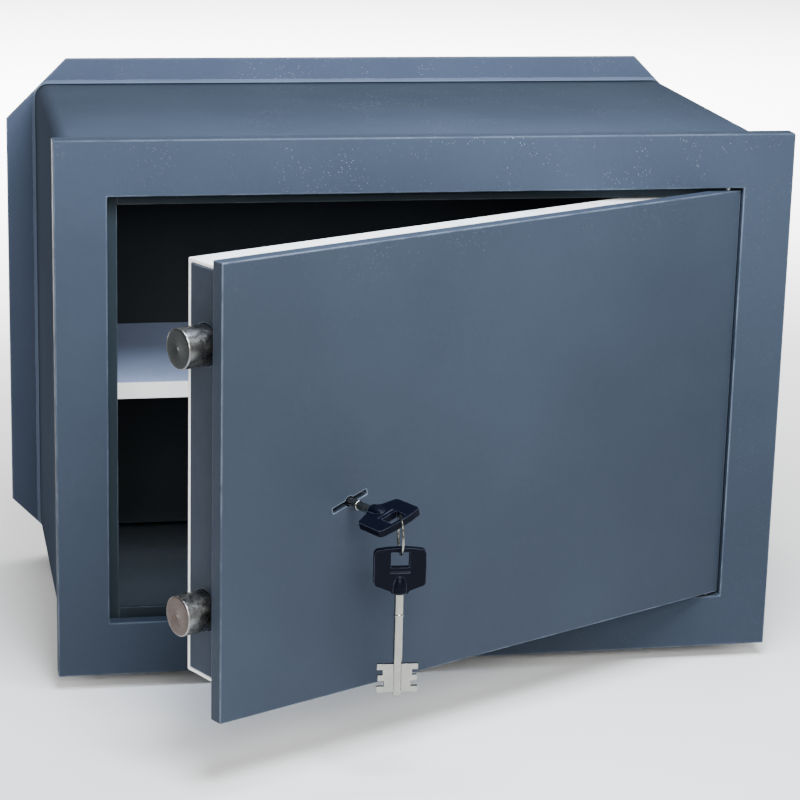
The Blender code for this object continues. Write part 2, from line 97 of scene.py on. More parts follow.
# keys, on the lock's axis: u across the bits, v across their thickness, w outwards
KEY_TILT = 18.0
GRIP, GROOVE = 7.0, 0.45
GROOVE_HALF, GROOVE_FROM, GROOVE_TO = 6.0, 13.3, 14.1
SHANK_R, SHANK_IN, SHANK_OUT, BIT_END = 2.75, 42.8, 22.5, 40.3
BIT_W, BIT_L, BIT_T = 25.0, 18.0, 2.4
BOW_W, BOW_L, BOW_T = 31.5, 29.0, 4.4
BOW_BAR, BOW_SLOT_W, BOW_SLOT_L = 2.6, 11.2, 9.6
BOW_COLLAR = ((0.0, 0.0), (3.9, 0.0), (4.5, 0.6), (4.6, 2.2))
BOW_COLLAR += ((4.2, 7.0), (3.0, 10.5), (1.2, 12.0), (0.0, 12.2))
BOW_NECK, BOW_CROWN = ((4.8, 0.0), (6.2, 2.0)), ((7.5, -0.25), (2.5, 0.0))
BOW_CORNER, BOW_CORNER_LOW, BOW_CORNER_HIGH = 3.0, 7.6, 4.0
BOW_SLOPE, BOW_ROUND = -62, 76
BOW_HOLE_GAP, BOW_HOLE_START, BOW_HOLE_END = 0.3, 1.0, 0.4
BIT_CUTS = (0.0, 4.4, 0.6, 3.6, 0.0)
CUT_REACH = 4.0
SHANK_TIP = ((0.0, 0.0), (0.9, 0.0), (1.3, 0.3), (SHANK_R - 0.5, 0.4), (SHANK_R, 1.1))
SHANK_FACE, SHANK_BEAD = (-2.0, 0.0, 8.0), ((0.3, 8.2), (0.45, 8.8), (0.3, 9.4), (0.0, 9.6))
SHANK_ROOT = 0.3
SHANK_SIDES, BOW_SIDES = 64, 48
BLADE_SOFT, BOW_SOFT = 0.22, 0.45
RING_WIRE = 1.0 * MM
RING_TURNS, RING_STEPS, RING_SIDES = 2, 96, 10
RING_ACROSS, RING_ALONG, RING_SPREAD = 0.92, 0.50, 0.50
RING_START = 0.7
SPARE_GAP = 0.3 * MM

# softened edges of the carried-over nodes, millimetres
NODE_SOFT = {"front_frame": 0.9, "door_plate": 0.4, "back_plate": 0.7, "rear_cover": 0.8, "shelf_lip": 0.5}
NODE_SOFT_ELSE = 0.25
NODE_SOFT_ANGLE, SMOOTH_ANGLE = 50, 35
JOIN_GAP = 0.00001

# studio: each light's place, target, size, power and colour
WHITE = (1.0, 1.0, 1.0)
SKY_STRENGTH = 0.40
FLOOR_HALF, FLOOR_GAP = 12.0, 0.5 * MM
LIGHTS = {
    "key_light": ((0.0, -0.92, 0.76), (0.0, -0.3, 0.05), (0.5, 0.3), 18.0, (0.90, 0.95, 1.0)),
    "edge_light": ((0.0, -0.46, 0.42), (0.0, -0.29, 0.15), (0.5, 0.08), 5.2, (0.70, 0.81, 1.0)),
    "front_fill": ((-0.15, -2.6, 1.0), (0.0, -0.2, 0.0), (1.2, 0.8), 62.0, (1.0, 0.99, 0.96)),
    "floor_wash": ((0.0, 1.8, 1.3), (0.0, 3.6, -0.2), (4.0, 1.2), 600.0, WHITE),
    "near_wash": ((0.0, 0.8, 1.0), (0.0, 1.7, -0.2), (2.4, 0.5), 75.0, WHITE),
}


def joint_point(name):
    return Vector(JOINTS[name]["pos_m"])


def joint_axis(name):
    return Vector(JOINTS[name]["axis"]).normalized()


DOOR_RIGHT = joint_axis("bolt_throw")
DOOR_OUT = joint_axis("key_pull")


# ---- node materials ---------------------------------------------------------------------------


class Graph:
    """A small helper for building one material's node tree."""

    def __init__(self, name):
        self.mat = bpy.data.materials.new(name)
        self.mat.use_nodes = True
        self.tree = self.mat.node_tree
        self.shader = self.tree.nodes["Principled BSDF"]
        self.coords = self.node("ShaderNodeTexCoord").outputs["Object"]

    def node(self, kind, **settings):
        made = self.tree.nodes.new(kind)
        for key, value in settings.items():
            setattr(made, key, value)
        return made

    def feed(self, socket, value):
        if isinstance(value, bpy.types.NodeSocket):
            self.tree.links.new(value, socket)
        else:
            socket.default_value = value

    def scaled(self, factors):
        mapping = self.node("ShaderNodeMapping")
        self.feed(mapping.inputs["Vector"], self.coords)
        self.feed(mapping.inputs["Scale"], factors)
        return mapping.outputs["Vector"]

    def noise(self, scale, detail=2.0, roughness=0.5, vector=None):
        made = self.node("ShaderNodeTexNoise")
        self.feed(made.inputs["Vector"], self.coords if vector is None else vector)
        self.feed(made.inputs["Scale"], scale)
        self.feed(made.inputs["Detail"], detail)
        self.feed(made.inputs["Roughness"], roughness)
        return made.outputs["Fac"]

    def cells(self, scale):
        made = self.node("ShaderNodeTexVoronoi")
        self.feed(made.inputs["Vector"], self.coords)
        self.feed(made.inputs["Scale"], scale)
        return made.outputs["Distance"]

    def remap(self, value, low, high, to_low=0.0, to_high=1.0):
        made = self.node("ShaderNodeMapRange", interpolation_type="SMOOTHSTEP")
        ends = {"From Min": low, "From Max": high, "To Min": to_low, "To Max": to_high}
        for key, item in {"Value": value, **ends}.items():
            self.feed(made.inputs[key], item)
        return made.outputs["Result"]

    def math(self, operation, a, b=0.0):
        made = self.node("ShaderNodeMath", operation=operation)
        self.feed(made.inputs[0], a)
        self.feed(made.inputs[1], b)
        return made.outputs[0]

    def mix(self, factor, a, b):
        made = self.node("ShaderNodeMix", data_type="RGBA")
        self.feed(made.inputs["Factor"], factor)
        self.feed(made.inputs["A"], a)
        self.feed(made.inputs["B"], b)
        return made.outputs["Result"]

    def axis(self, index):
        made = self.node("ShaderNodeSeparateXYZ")
        self.feed(made.inputs[0], self.coords)
        return made.outputs[index]

    def edges(self, radius):
        """1 along convex edges, 0 on flat faces."""
        soft = self.node("ShaderNodeBevel", samples=4)
        self.feed(soft.inputs["Radius"], radius)
        flat = self.node("ShaderNodeNewGeometry").outputs["Normal"]
        dot = self.node("ShaderNodeVectorMath", operation="DOT_PRODUCT")
        self.feed(dot.inputs[0], soft.outputs["Normal"])
        self.feed(dot.inputs[1], flat)
        return self.remap(dot.outputs["Value"], 0.995, 0.90)

    def bump(self, height, strength, distance, after=None):
        made = self.node("ShaderNodeBump")
        self.feed(made.inputs["Height"], height)
        self.feed(made.inputs["Strength"], strength)
        self.feed(made.inputs["Distance"], distance)
        if after is not None:
            self.feed(made.inputs["Normal"], after)
        return made.outputs["Normal"]

    def finish(self, color, roughness, normal, metallic=0.0, **sockets):
        inputs = self.shader.inputs
        self.feed(inputs["Base Color"], color)
        self.feed(inputs["Roughness"], roughness)
        self.feed(inputs["Normal"], normal)
        inputs["Metallic"].default_value = metallic
        for key, value in sockets.items():
            inputs[key.replace("_", " ")].default_value = value
        return self.mat


def rgba(red, green, blue):
    return (red, green, blue, 1.0)


def paint(name, color, light, dust, dust_from=0.12, dust_to=0.18, shine=0.02):
    """Satin enamel: fine orange peel, soft mottling, a paler tint along convex edges that is partly edge wear and
    partly a painted highlight, and dust that gathers high up, off the left edge.
    """
    g = Graph(name)
    mottle = g.remap(g.noise(5.0, 3.0, 0.6), 0.3, 0.7)
    fine = g.remap(g.noise(260.0, 2.0, 0.6), 0.35, 0.65)
    tone = g.math("MULTIPLY_ADD", fine, 0.15)
    g.feed(tone.node.inputs[2], g.math("MULTIPLY", mottle, 0.85))
    base = g.mix(tone, rgba(*[c * 0.90 for c in color]), rgba(*[c * 1.10 for c in color]))
    # convex edges drawn towards the pale tint: partly edge wear, partly a painted highlight
    wear_and_highlight = g.math("MULTIPLY", g.edges(1.2 * MM), g.remap(g.noise(60.0, 3.0), 0.30, 0.62, 0.25, 1.0))
    base = g.mix(g.math("MULTIPLY", wear_and_highlight, 0.55), base, rgba(*light))
    specks = g.remap(g.cells(560.0), 0.17, 0.05)
    gather = g.remap(g.noise(24.0, 5.0, 0.75), 0.47, 0.60)
    high = g.remap(g.axis(2), dust_from, dust_to, 0.18, 1.0)
    high = g.math("MULTIPLY", high, g.remap(g.axis(0), -0.17, -0.06, 0.35, 1.0))
    specks = g.math("MULTIPLY", g.math("MULTIPLY", specks, gather), high)
    base = g.mix(g.math("MULTIPLY", specks, dust), base, rgba(0.55, 0.60, 0.70))
    rough = g.remap(g.noise(90.0, 4.0, 0.65), 0.25, 0.75, 0.40, 0.54)
    peel = g.bump(g.noise(750.0, 2.0, 0.5), 0.30, 0.12 * MM)
    waves = g.bump(g.noise(70.0, 1.0), 0.12, 0.5 * MM, peel)
    return g.finish(base, rough, waves, Specular_IOR_Level=shine)


def enamel(name, color):
    """Smooth white enamel or sheet cover, faintly soiled."""
    g = Graph(name)
    soil = g.remap(g.noise(14.0, 4.0, 0.7), 0.45, 0.80)
    base = g.mix(g.math("MULTIPLY", soil, 0.35), rgba(*color), rgba(0.62, 0.60, 0.56))
    chips = g.math("MULTIPLY", g.edges(0.8 * MM), g.remap(g.noise(120.0, 3.0), 0.56, 0.66))
    base = g.mix(chips, base, rgba(0.45, 0.44, 0.43))
    rough = g.remap(g.noise(55.0, 3.0), 0.3, 0.7, 0.25, 0.42)
    return g.finish(base, rough, g.bump(g.noise(420.0, 2.0), 0.12, 0.08 * MM), Coat_Weight=0.2)


def brushed(name, color, dark, roughness):
    """Rolled or plated metal with fine level lines."""
    g = Graph(name)
    lines = g.noise(90.0, 4.0, 0.7, g.scaled((1.0, 1.0, 60.0)))
    stain = g.remap(g.noise(30.0, 4.0, 0.7), 0.40, 0.75)
    base = g.mix(g.math("MULTIPLY", stain, 0.5), rgba(*color), rgba(*dark))
    uneven = g.math("ADD", lines, g.math("MULTIPLY", stain, 0.4))
    rough = g.remap(uneven, 0.2, 1.1, roughness * 0.7, roughness * 1.5)
    return g.finish(base, rough, g.bump(lines, 0.10, 0.06 * MM), 1.0)


def plated(name, color, roughness):
    """Bright nickel: near-mirror, with handling marks and tiny pits."""
    g = Graph(name)
    marks = g.remap(g.noise(140.0, 5.0, 0.75), 0.35, 0.75)
    pits = g.remap(g.cells(900.0), 0.16, 0.05)
    base = g.mix(g.math("MULTIPLY", marks, 0.3), rgba(*color), rgba(0.50, 0.47, 0.42))
    rough = g.remap(marks, 0.0, 1.0, roughness * 0.8, roughness * 1.9)
    height = g.math("SUBTRACT", g.math("MULTIPLY", marks, 0.3), g.math("MULTIPLY", pits, 0.5))
    return g.finish(base, rough, g.bump(height, 0.15, 0.04 * MM), 1.0)


def moulded(name, color):
    """Moulded dark plastic with a fine spark-eroded grain and paler edges, partly rubbed and partly a painted
    highlight.
    """
    g = Graph(name)
    # paler convex edges: partly rubbed plastic, partly a painted highlight
    rub_and_highlight = g.math("MULTIPLY", g.edges(0.6 * MM), g.remap(g.noise(200.0, 3.0), 0.3, 0.6, 0.3, 1.0))
    base = g.mix(g.math("MULTIPLY", rub_and_highlight, 0.28), rgba(*color), rgba(0.17, 0.19, 0.27))
    rough = g.remap(g.noise(300.0, 3.0), 0.3, 0.7, 0.28, 0.48)
    return g.finish(base, rough, g.bump(g.noise(2200.0, 2.0), 0.2, 0.03 * MM), Specular_IOR_Level=0.05)


def painted_reflection_plating(name, color, rim, roughness):
    """Plated steel with fine level marks, its base colour darkened to stand in for reflections of dark
    surroundings (a painted reflection), and a painted highlight along its convex edges.
    """
    g = Graph(name)
    marks = g.remap(g.noise(160.0, 5.0, 0.75), 0.35, 0.75)
    base = g.mix(g.math("MULTIPLY", marks, 0.20), rgba(*color), rgba(*[c * 0.6 for c in color]))
    # painted highlight along the convex edges, broken by noise
    rim_highlight_mask = g.math("MULTIPLY", g.edges(0.9 * MM), g.remap(g.noise(90.0, 3.0), 0.25, 0.55, 0.35, 1.0))
    base = g.mix(rim_highlight_mask, base, rgba(*rim))
    rough = g.remap(marks, 0.0, 1.0, roughness * 0.8, roughness * 1.5)
    fine = g.noise(60.0, 3.0, 0.7, g.scaled((1.0, 1.0, 30.0)))
    return g.finish(base, rough, g.bump(fine, 0.05, 0.02 * MM), 1.0)


BLUE = (0.0265, 0.0345, 0.0485)
# pale blue of the convex edges: partly edge wear, partly a painted highlight
BLUE_LIGHT = (0.30, 0.36, 0.46)
FINISHES = {
    "casing_paint": paint("casing_enamel", BLUE, BLUE_LIGHT, 0.55),
    "door_paint": paint("door_enamel", BLUE, BLUE_LIGHT, 0.25, 0.10, 0.16, 0.05),
    # near black copy of the paint for inside the box: painted shade
    "inner_paint": paint("inner_painted_shade", (0.028, 0.033, 0.038), (0.09, 0.11, 0.13), 0.05),
    # the shelf: its own lilac paint, made lighter as painted light where little light reaches
    "shelf_paint": paint("shelf_paint_with_painted_light", (0.35, 0.43, 0.65), (0.4, 0.44, 0.5), 0.1),
    "white_enamel": enamel("white_cover_enamel", (0.86, 0.85, 0.82)),
    "plain_steel": brushed("milled_steel", (0.50, 0.50, 0.51), (0.22, 0.20, 0.18), 0.34),
    "zinc": brushed("zinc_plate", (0.62, 0.62, 0.60), (0.40, 0.38, 0.33), 0.30),
    "brass": brushed("milled_brass", (0.66, 0.50, 0.24), (0.34, 0.22, 0.10), 0.28),
    "nickel": plated("bright_nickel", (0.25, 0.25, 0.22), 0.15),
    "bow_plastic": moulded("bow_moulding", (0.0013, 0.0018, 0.0046)),
}
# the bolts' plating: its dark colour is a painted reflection of dark surroundings, its pale rim colour a painted
# highlight
PAINTED_RIM_HIGHLIGHT = (0.75, 0.73, 0.70)
BOLT_SIDE = painted_reflection_plating("bolt_plating", (0.19, 0.19, 0.185), PAINTED_RIM_HIGHLIGHT, 0.33)
# the bolt faces: darker, differently tinted copies of the plating, painted reflections
BOLT_FACES = {
    "upper_bolt": painted_reflection_plating("upper_bolt_face", (0.026, 0.030, 0.029), PAINTED_RIM_HIGHLIGHT, 0.28),
    "lower_bolt": painted_reflection_plating("lower_bolt_face", (0.082, 0.060, 0.050), PAINTED_RIM_HIGHLIGHT, 0.28),
}
# the box's sides: a lighter copy of the blue paint with no sheen, painted light in place of the sheen
BODY_PAINTED_LIGHT = paint("body_painted_light", (0.042, 0.053, 0.072), BLUE_LIGHT, 0.55, shine=0.0)
# the weld fillet: a lighter copy of the blue paint, a painted highlight along the joint
FILLET_PAINTED_HIGHLIGHT = paint("fillet_painted_highlight", (0.085, 0.108, 0.155), BLUE_LIGHT, 0.3)
# the door stops: a near black copy of the paint, painted shade in the opening
STOP_PAINTED_SHADE = paint("stop_painted_shade", (0.0125, 0.0175, 0.0215), (0.09, 0.11, 0.13), 0.05)
# the back plate: a lighter copy of the blue paint, painted light
BACK_PLATE_PAINTED_LIGHT = paint("back_plate_painted_light", (0.050, 0.064, 0.096), BLUE_LIGHT, 0.6)
OWN_FINISHES = {f"stop_{side}": STOP_PAINTED_SHADE for side in ("left", "top", "bottom", "right")}
OWN_FINISHES["back_plate"] = BACK_PLATE_PAINTED_LIGHT


# ---- carried-over nodes -----------------------------------------------------------------------


def dress_nodes():
    """Gives every CAD node its slot's finish, welded vertices and softened edges."""
    slot_of = {item["node"]: item["material_slot"] for item in frame["record"]["subparts"]}
    for name, obj in NODES.items():
        obj.data.materials.clear()
        obj.data.materials.append(OWN_FINISHES.get(name, FINISHES[slot_of[name]]))
        join = obj.modifiers.new("join", "WELD")
        join.merge_threshold = JOIN_GAP
        bevel_edges(obj, NODE_SOFT.get(name, NODE_SOFT_ELSE), NODE_SOFT_ANGLE)
        flat = obj.modifiers.new("flat_faces", "WEIGHTED_NORMAL")
        flat.keep_sharp = True
        smooth_by_angle(obj, SMOOTH_ANGLE)


def bevel_edges(obj, width, degrees):
    """Softens the edges sharper than an angle; width in millimetres."""
    soft = obj.modifiers.new("soft_edges", "BEVEL")
    soft.width = width * MM
    soft.segments = 3
    soft.limit_method = "ANGLE"
    soft.angle_limit = math.radians(degrees)


def smooth_by_angle(obj, degrees):
    for polygon in obj.data.polygons:
        polygon.use_smooth = True
    obj.data.set_sharp_from_angle(angle=math.radians(degrees))


# ---- mesh helpers -----------------------------------------------------------------------------


def add_piece(name, bm, slot, body, nodes=(), smooth=40):
    """Makes one visible piece from a bmesh in metres and ties it to its body."""
    bmesh.ops.recalc_face_normals(bm, faces=bm.faces)
    mesh = bpy.data.meshes.new(name)
    bm.to_mesh(mesh)
    bm.free()
    mesh.materials.append(FINISHES[slot])
    obj = bpy.data.objects.new(name, mesh)
    bpy.context.scene.collection.objects.link(obj)
    smooth_by_angle(obj, smooth)
    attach(obj, body)
    if nodes:
        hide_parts(*nodes)
    return obj


def slab(outline, low, high, point):
    """An outline extruded between two thicknesses; point(a, b, c) places it."""
    bm = bmesh.new()
    face = bm.faces.new([bm.verts.new(point(a, low, b)) for a, b in outline])
    grown = bmesh.ops.extrude_face_region(bm, geom=[face])["geom"]
    shift = point(0, high, 0) - point(0, low, 0)
    bmesh.ops.translate(bm, vec=shift, verts=[v for v in grown if isinstance(v, bmesh.types.BMVert)])
    return bm


def lathe(profile, matrix, segments=96):
    """Turns (radius, height) points in metres about the matrix's Z axis."""
    bm = bmesh.new()
    rings = []
    for radius, height in profile:
        if radius == 0:
            rings.append([bm.verts.new((0, 0, height))])
            continue
        steps = [math.tau * i / segments for i in range(segments)]
        rings.append([bm.verts.new((radius * math.cos(a), radius * math.sin(a), height)) for a in steps])
    for low, high in zip(rings, rings[1:]):
        for i in range(segments):
            j = (i + 1) % segments
            corners = [low[i % len(low)], low[j % len(low)], high[j % len(high)], high[i % len(high)]]
            bm.faces.new(list(dict.fromkeys(corners)))
    bmesh.ops.transform(bm, matrix=matrix, verts=bm.verts)
    return bm


def boolean(target, bm, operation="DIFFERENCE"):
    """Applies a Boolean with a bmesh tool and removes the tool."""
    bmesh.ops.recalc_face_normals(bm, faces=bm.faces)
    mesh = bpy.data.meshes.new("tool")
    bm.to_mesh(mesh)
    bm.free()
    tool = bpy.data.objects.new("tool", mesh)
    bpy.context.scene.collection.objects.link(tool)
    mod = target.modifiers.new("cut", "BOOLEAN")
    mod.operation = operation
    mod.solver = "EXACT"
    mod.object = tool
    graph = bpy.context.evaluated_depsgraph_get()
    result = bpy.data.meshes.new_from_object(target.evaluated_get(graph))
    target.modifiers.remove(mod)
    old = target.data
    target.data = result
    bpy.data.meshes.remove(old)
    bpy.data.objects.remove(tool, do_unlink=True)
    bpy.data.meshes.remove(mesh)


def frame_matrix(origin, x_axis, y_axis, z_axis):
    rotation = Matrix((x_axis, y_axis, z_axis)).transposed().to_4x4()
    return Matrix.Translation(origin) @ rotation


# ---- casing -----------------------------------------------------------------------------------


def rounded_rectangle(half_w, half_h, radius, steps=10):
    """Points of a rounded rectangle in X and Z, anticlockwise."""
    points = []
    corners = ((1, 1, 0), (-1, 1, 90), (-1, -1, 180), (1, -1, 270))
    for sx, sz, start in corners:
        for i in range(steps + 1):
            a = math.radians(start + 90 * i / steps)
            x = sx * (half_w - radius) + radius * math.cos(a)
            points.append((x, sz * (half_h - radius) + radius * math.sin(a)))
    return points


def body_wrap():
    """The box's four sides as one folded sheet, blue outside; inside, a near black copy of the paint stands in for
    the shade in the box.
    """
    left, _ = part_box("body_left")
    _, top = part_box("body_top")
    half_w, half_h = -left.x, top.z
    front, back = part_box("body_top")[0].y, top.y
    outline = rounded_rectangle(half_w, half_h, BODY_R)
    stations = [front + (back - front) * i / BODY_STATIONS for i in range(BODY_STATIONS + 1)]
    bm = bmesh.new()
    rows = [[bm.verts.new((x, y, z)) for x, z in outline] for y in stations]
    count = len(outline)
    for low, high in zip(rows, rows[1:]):
        for i in range(count):
            j = (i + 1) % count
            bm.faces.new((low[i], low[j], high[j], high[i]))
    names = ("body_top", "body_left", "body_floor", "body_right")
    obj = add_piece("body_wrap", bm, "casing_paint", "casing", names)
    # outside faces: the lighter, sheenless copy of the paint, painted light
    obj.data.materials[0] = BODY_PAINTED_LIGHT
    # inside faces: near black painted shade
    obj.data.materials.append(FINISHES["inner_paint"])
    wall = obj.modifiers.new("wall", "SOLIDIFY")
    wall.thickness = WALL
    wall.offset = -1.0
    wall.material_offset = 1
    inner_back_shade_sheet(half_w - WALL - SHADE_SHEET_GAP, half_h - WALL - SHADE_SHEET_GAP, back)
    return half_w, half_h, back


def inner_back_shade_sheet(half_w, half_h, back):
    """A thin near black sheet on the back plate, inside the box: painted shade over the plate's own paint."""
    inner = rounded_rectangle(half_w, half_h, BODY_R - WALL)
    shade_sheet = bmesh.new()
    near, far = back - SHADE_SHEET_THICK, back + SHADE_SHEET_SUNK
    face = shade_sheet.faces.new([shade_sheet.verts.new((x, near, z)) for x, z in inner])
    grown = bmesh.ops.extrude_face_region(shade_sheet, geom=[face])["geom"]
    moved = [item for item in grown if isinstance(item, bmesh.types.BMVert)]
    bmesh.ops.translate(shade_sheet, vec=(0, far - near, 0), verts=moved)
    add_piece("inner_back_painted_shade", shade_sheet, "inner_paint", "casing")


def weld_bead(half_w, half_h, y):
    """A painted fillet weld that runs round the box, in front of the back plate; its paint is a lighter copy of
    the blue, a painted highlight along the joint.
    """
    outline = rounded_rectangle(half_w, half_h, BODY_R, 12)
    _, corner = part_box("back_plate")
    diagonal = corner.x + corner.z - BACK_CUT
    path = []
    for (x0, z0), (x1, z1) in zip(outline, outline[1:] + outline[:1]):
        length = math.hypot(x1 - x0, z1 - z0)
        pieces = max(1, int(length / FILLET_STEP))
        for i in range(pieces):
            path.append((x0 + (x1 - x0) * i / pieces, z0 + (z1 - z0) * i / pieces))
    bm = bmesh.new()
    rings = []
    count = len(path)
    sides = len(FILLET_SECTION)
    for k in range(count):
        x, z = path[k]
        ahead, behind = path[(k + 1) % count], path[k - 1]
        out = Vector((ahead[1] - behind[1], 0, behind[0] - ahead[0])).normalized()
        out = out if out.x * x + out.z * z > 0 else -out
        fine = RIPPLE_FINE * math.sin(k * RIPPLE_FINE_RATE)
        slow = RIPPLE_SLOW * math.sin(k * RIPPLE_SLOW_RATE)
        room = (diagonal - abs(x) - abs(z)) / math.sqrt(2)
        ripple = min(FILLET_SIZE * (1.0 + fine + slow), room)
        ring = []
        for across, along in FILLET_SECTION:
            offset = out * (ripple * across) + Vector((0, ripple * along, 0))
            ring.append(bm.verts.new(Vector((x, y, z)) + offset))
        rings.append(ring)
    for k in range(count):
        low, high = rings[k], rings[(k + 1) % count]
        for i in range(sides):
            j = (i + 1) % sides
            bm.faces.new((low[i], low[j], high[j], high[i]))
    obj = add_piece("back_weld", bm, "casing_paint", "casing", smooth=80)
    obj.data.materials[0] = FILLET_PAINTED_HIGHLIGHT


# ---- door -------------------------------------------------------------------------------------


def turned_bolt(name, node):
    """A round bolt with a softly chamfered face and a turned centre mark."""
    low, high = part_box(node)
    centre = (low + high) / 2
    radius = (high.z - low.z) / 2
    length = (high.x - low.x - 2 * radius * abs(DOOR_RIGHT.y)) / abs(DOOR_RIGHT.x)
    start = centre - DOOR_RIGHT * (length / 2)
    soft = BOLT_SOFT
    profile = BOLT_CENTRE + [(radius - BOLT_RIM, 0.0)]
    for i in range(BOLT_STEPS + 1):
        a = math.radians(90 * i / BOLT_STEPS)
        profile.append((radius - soft + soft * math.sin(a), soft - soft * math.cos(a)))
    profile += [(radius, length * 0.5), (radius, length - soft), (radius - soft, length), (0.0, length)]
    bm = lathe(profile, frame_matrix(start, Z.cross(DOOR_RIGHT), Z, DOOR_RIGHT))
    obj = add_piece(name, bm, "nickel", "bolt_work", (node,), smooth=50)
    obj.data.materials[0] = BOLT_SIDE
    # the face gets a darker, tinted copy of the plating: a painted reflection
    obj.data.materials.append(BOLT_FACES[node])
    for polygon in obj.data.polygons:
        if (polygon.center - start).dot(DOOR_RIGHT) < BOLT_FACE_DEPTH:
            polygon.material_index = 1


def slotted_screw(index):
    """A raised cheese-head screw with a slot across its head, on the rear cover."""
    node = f"cover_screw_{index}"
    low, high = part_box(node)
    inward = -DOOR_OUT
    across = (high.z - low.z) / 2
    length = (high.y - low.y - 2 * across * abs(DOOR_OUT.x)) / abs(DOOR_OUT.y)
    base = (low + high) / 2 - inward * (length / 2)
    under, soft = length - SCREW_HEAD, SCREW_SOFT
    profile = [(0.0, 0.0), (SCREW_SHANK_R, 0.0), (SCREW_SHANK_R, under), (across, under)]
    for i in range(SCREW_STEPS + 1):
        a = math.radians(90 * i / SCREW_STEPS)
        profile.append((across - soft + soft * math.cos(a), length - soft + soft * math.sin(a)))
    profile.append((0.0, length + SCREW_CROWN))
    side = Z.cross(inward)
    bm = lathe(profile, frame_matrix(base, side, Z, inward), SCREW_SIDES)
    obj = add_piece(f"head_screw_{index}", bm, "zinc", "door", (node,))
    turn = Matrix.Rotation(math.radians(SLOT_FIRST + SLOT_TURN * index), 4, "Z")
    slot = bmesh.new()
    size = Matrix.Diagonal((*SLOT_SIZE, 1.0))
    place = frame_matrix(base + inward * (length + SLOT_RAISE), side, Z, inward)
    bmesh.ops.create_cube(slot, size=1.0, matrix=place @ turn @ size)
    boolean(obj, slot)
    smooth_by_angle(obj, SMOOTH_ANGLE)


# ---- keys -------------------------------------------------------------------------------------


def key_matrix():
    """From key coordinates (u, v, w) in metres to the rest pose, for the key in the lock."""
    a = math.radians(KEY_TILT)
    u_axis = DOOR_RIGHT * math.cos(a) + Z * math.sin(a)
    v_axis = Z * math.cos(a) - DOOR_RIGHT * math.sin(a)
    return frame_matrix(joint_point("key_turn"), u_axis, v_axis, DOOR_OUT)


def spare_matrix():
    """From key coordinates to the spare key, hung by its slot in the ring's lowest point."""
    along = joint_axis("ring_swing")
    normal = along.cross(Z).normalized()
    bar_low = joint_point("spare_key_swing") + Z * (RING_WIRE + SPARE_GAP)
    edge = Vector((0, 0, (SHANK_OUT + BOW_L - BOW_BAR) * MM))
    return frame_matrix(bar_low, normal, along, Z) @ Matrix.Translation(-edge)


def key_point(u, v, w):
    return Vector((u, v, w)) * MM


def bit_outline():
    """Double bit with three teeth a side, from the tip outwards; cuts of unequal depth."""
    tip, half = -BIT_END, BIT_W / 2
    step = BIT_L / len(BIT_CUTS)
    right = []
    for i, depth in enumerate(BIT_CUTS):
        right += [(half - depth, tip + step * i), (half - depth, tip + step * (i + 1))]
    left = [(-u, w) for u, w in reversed(right)]
    return right + left


def arc(centre, radius, start, end, steps=5):
    points = []
    for i in range(steps + 1):
        a = math.radians(start + (end - start) * i / steps)
        points.append((centre[0] + radius * math.cos(a), centre[1] + radius * math.sin(a)))
    return points


def bow_outline():
    """Rounded bow: narrow collar, sloping shoulders, gently crowned end."""
    half, base, end = BOW_W / 2, SHANK_OUT, SHANK_OUT + BOW_L
    right = [(u, base + w) for u, w in BOW_NECK]
    right += arc((half - BOW_CORNER, base + BOW_CORNER_LOW), BOW_CORNER, BOW_SLOPE, 0)
    right += arc((half - BOW_CORNER, end - BOW_CORNER_HIGH), BOW_CORNER, 0, BOW_ROUND)
    right += [(u, end + w) for u, w in BOW_CROWN]
    return right + [(-u, w) for u, w in reversed(right)]


def key_piece(prefix, body, nodes, place):
    """A turned shank with its bits, in a moulded bow; cut in key coordinates, then put in place."""
    blade_node, bow_node = nodes
    tip, root = -SHANK_IN * MM, (SHANK_OUT + GRIP) * MM
    r = SHANK_R * MM
    profile = [(across * MM, tip + along * MM) for across, along in SHANK_TIP]
    profile += [(r, along * MM) for along in SHANK_FACE]
    profile += [(r + out * MM, along * MM) for out, along in SHANK_BEAD]
    profile += [(r, root - SHANK_ROOT * MM), (r - SHANK_ROOT * MM, root), (0.0, root)]
    shank = lathe(profile, Matrix.Identity(4), SHANK_SIDES)
    blade = add_piece(prefix + "_blade", shank, "nickel", body, (blade_node,))
    boolean(blade, slab(bit_outline(), -BIT_T / 2, BIT_T / 2, key_point), "UNION")
    blade.data.transform(place)
    soften(blade, BLADE_SOFT)

    half_t = BOW_T / 2
    body_slab = slab(bow_outline(), -half_t, half_t, key_point)
    bow = add_piece(prefix + "_grip", body_slab, "bow_plastic", body, (bow_node,))
    collar = [(a * MM, (SHANK_OUT + b) * MM) for a, b in BOW_COLLAR]
    boolean(bow, lathe(collar, Matrix.Identity(4), BOW_SIDES), "UNION")
    high = SHANK_OUT + BOW_L - BOW_BAR
    tools = [block(BOW_SLOT_W / 2, high - BOW_SLOT_L, high, -CUT_REACH, CUT_REACH)]
    for side in (-1, 1):
        low, top = sorted((side * (half_t - GROOVE), side * CUT_REACH))
        tools.append(block(GROOVE_HALF, SHANK_OUT + GROOVE_FROM, SHANK_OUT + GROOVE_TO, low, top))
    hole = (SHANK_R + BOW_HOLE_GAP) * MM
    start, end = (SHANK_OUT - BOW_HOLE_START) * MM, (SHANK_OUT + GRIP + BOW_HOLE_END) * MM
    bore = [(0.0, start), (hole, start), (hole, end), (0.0, end)]
    tools.append(lathe(bore, Matrix.Identity(4), BOW_SIDES))
    for tool in tools:
        boolean(bow, tool)
    bow.data.transform(place)
    soften(bow, BOW_SOFT)


